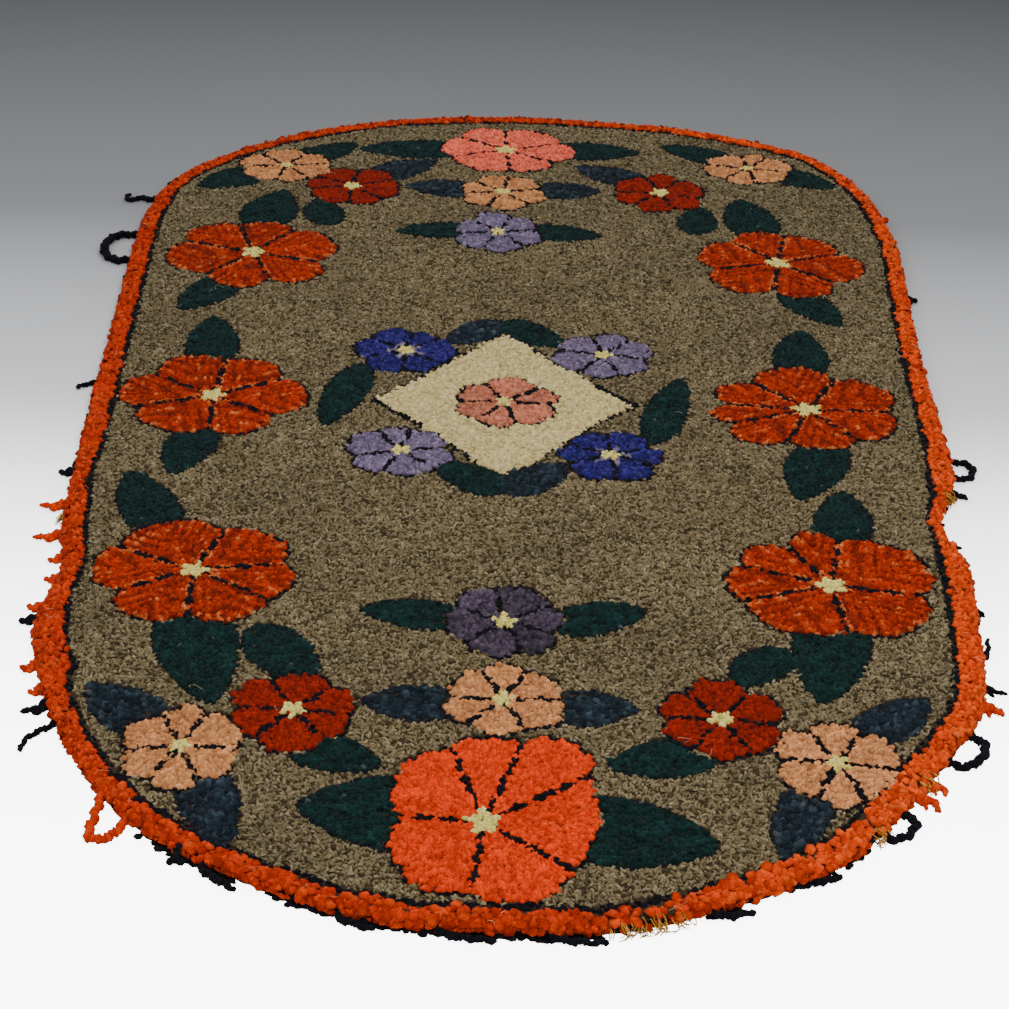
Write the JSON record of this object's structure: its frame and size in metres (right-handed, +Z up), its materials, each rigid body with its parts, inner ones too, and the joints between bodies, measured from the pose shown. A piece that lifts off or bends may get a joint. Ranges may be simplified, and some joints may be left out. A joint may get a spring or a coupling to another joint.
{
  "type": "hooked rug",
  "caption": "Worn hooked wool rug with round corners, folk flowers on a tweed ground and an orange border, lying flat.",
  "frame": {"origin": "on the flat underside, near the middle of the rug", "axes": "+X across the rug to its right side, +Y along the rug to its far end, +Z up out of the pile"},
  "size_m": [0.7764, 1.3238, 0.0115],
  "materials": {
    "wool_pile": "matte",
    "black_yarn": "matte"
  },
  "bodies": {
    "root": {"hooked_mat": "wool_pile", "rim_yarn": "black_yarn"}
  },
  "joints": []
}
